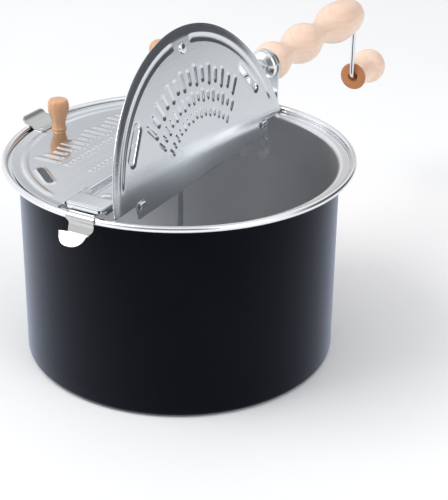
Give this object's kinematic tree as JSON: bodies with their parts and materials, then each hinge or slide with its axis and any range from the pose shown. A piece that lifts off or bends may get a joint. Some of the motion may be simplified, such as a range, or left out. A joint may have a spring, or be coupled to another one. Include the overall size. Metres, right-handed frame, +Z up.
{
  "type": "popcorn maker",
  "caption": "Stovetop popcorn pot with split hinged lid, long wooden handle and a hand crank that drives a floor stirrer through bevel gears.",
  "frame": {"origin": "centre of the pot's flat underside, on the surface it stands on", "axes": "+Z up along the pot's axis; +X along the handle, away from the pot; +Y towards the closed half-lid"},
  "size_m": [0.4882, 0.2568, 0.2416],
  "materials": {
    "pot_coat": "satin-gloss black enamel outside, bare bright aluminium rim and inside",
    "bright_steel": "formed sheet steel, satin",
    "lid_sheet": "bright rolled stainless sheet",
    "clip_sheet": "bright spring steel",
    "rivet_metal": "satin",
    "ferrule_metal": "bright",
    "screw_metal": "bright plated",
    "gear_metal": "machined",
    "rod_chrome": "bright plated rod",
    "bush_brass": "turned",
    "handle_wood": "pale turned hardwood, clear satin lacquer",
    "knob_wood": "warm tan turned hardwood, clear lacquer"
  },
  "bodies": {
    "pot_body": {"pot": "pot_coat", "handle_bracket": "bright_steel", "bracket_rivets": "rivet_metal", "handle_ferrule": "ferrule_metal", "wooden_handle": "handle_wood", "handle_tube": "bright_steel", "tube_nut": "bright_steel", "bridge": "lid_sheet", "clip_leaf": "clip_sheet", "clip_rivet": "rivet_metal", "gear_bracket": "bright_steel", "gear_bracket_rivets": "rivet_metal", "shaft_bush": "bush_brass"},
    "left_lid": {"left_half_lid": "lid_sheet", "left_knob": "knob_wood", "left_knob_screw": "screw_metal", "side_catch": "clip_sheet", "catch_rivets": "rivet_metal"},
    "right_lid": {"right_half_lid": "lid_sheet", "right_knob": "knob_wood", "right_knob_screw": "screw_metal"},
    "clip": {"front_clip": "clip_sheet"},
    "crank": {"crank_rod": "rod_chrome", "bevel_pinion": "gear_metal", "pinion_pin": "rivet_metal", "rod_collar": "gear_metal", "knob_retainer": "gear_metal"},
    "grip": {"crank_knob": "handle_wood"},
    "stirrer": {"bevel_gear": "gear_metal", "gear_pin": "rivet_metal", "stirrer_shaft": "rod_chrome", "shaft_collar": "gear_metal", "stirrer_hub": "gear_metal", "stirring_wires": "rod_chrome"}
  },
  "joints": [
    {"name": "left_lid_hinge", "type": "hinge", "parent": "pot_body", "child": "left_lid", "pos_m": [0, 0.022, 0.14715], "axis": [1, 0, 0], "range_deg": [0, 60]},
    {"name": "right_lid_hinge", "type": "hinge", "parent": "pot_body", "child": "right_lid", "pos_m": [0, -0.022, 0.14715], "axis": [1, 0, 0], "range_deg": [0, 104]},
    {"name": "front_clip_flex", "type": "hinge", "parent": "pot_body", "child": "clip", "pos_m": [-0.124, 0, 0.1512], "axis": [0, 1, 0], "range_deg": [0, 12], "stiffness_Nm_per_rad": 0.2},
    {"name": "crank_turn", "type": "hinge", "parent": "pot_body", "child": "crank", "pos_m": [0, 0, 0.178], "axis": [1, 0, 0], "continuous": true},
    {"name": "crank_knob_spin", "type": "hinge", "parent": "crank", "child": "grip", "pos_m": [0.3032, 0, 0.117], "axis": [1, 0, 0], "continuous": true},
    {"name": "stirrer_turn", "type": "hinge", "parent": "pot_body", "child": "stirrer", "pos_m": [0, 0, 0.08], "axis": [0, 0, 1], "continuous": true}
  ],
  "couplings": [
    {"joint": "stirrer_turn", "follows": "crank_turn", "ratio": 0.66667}
  ]
}
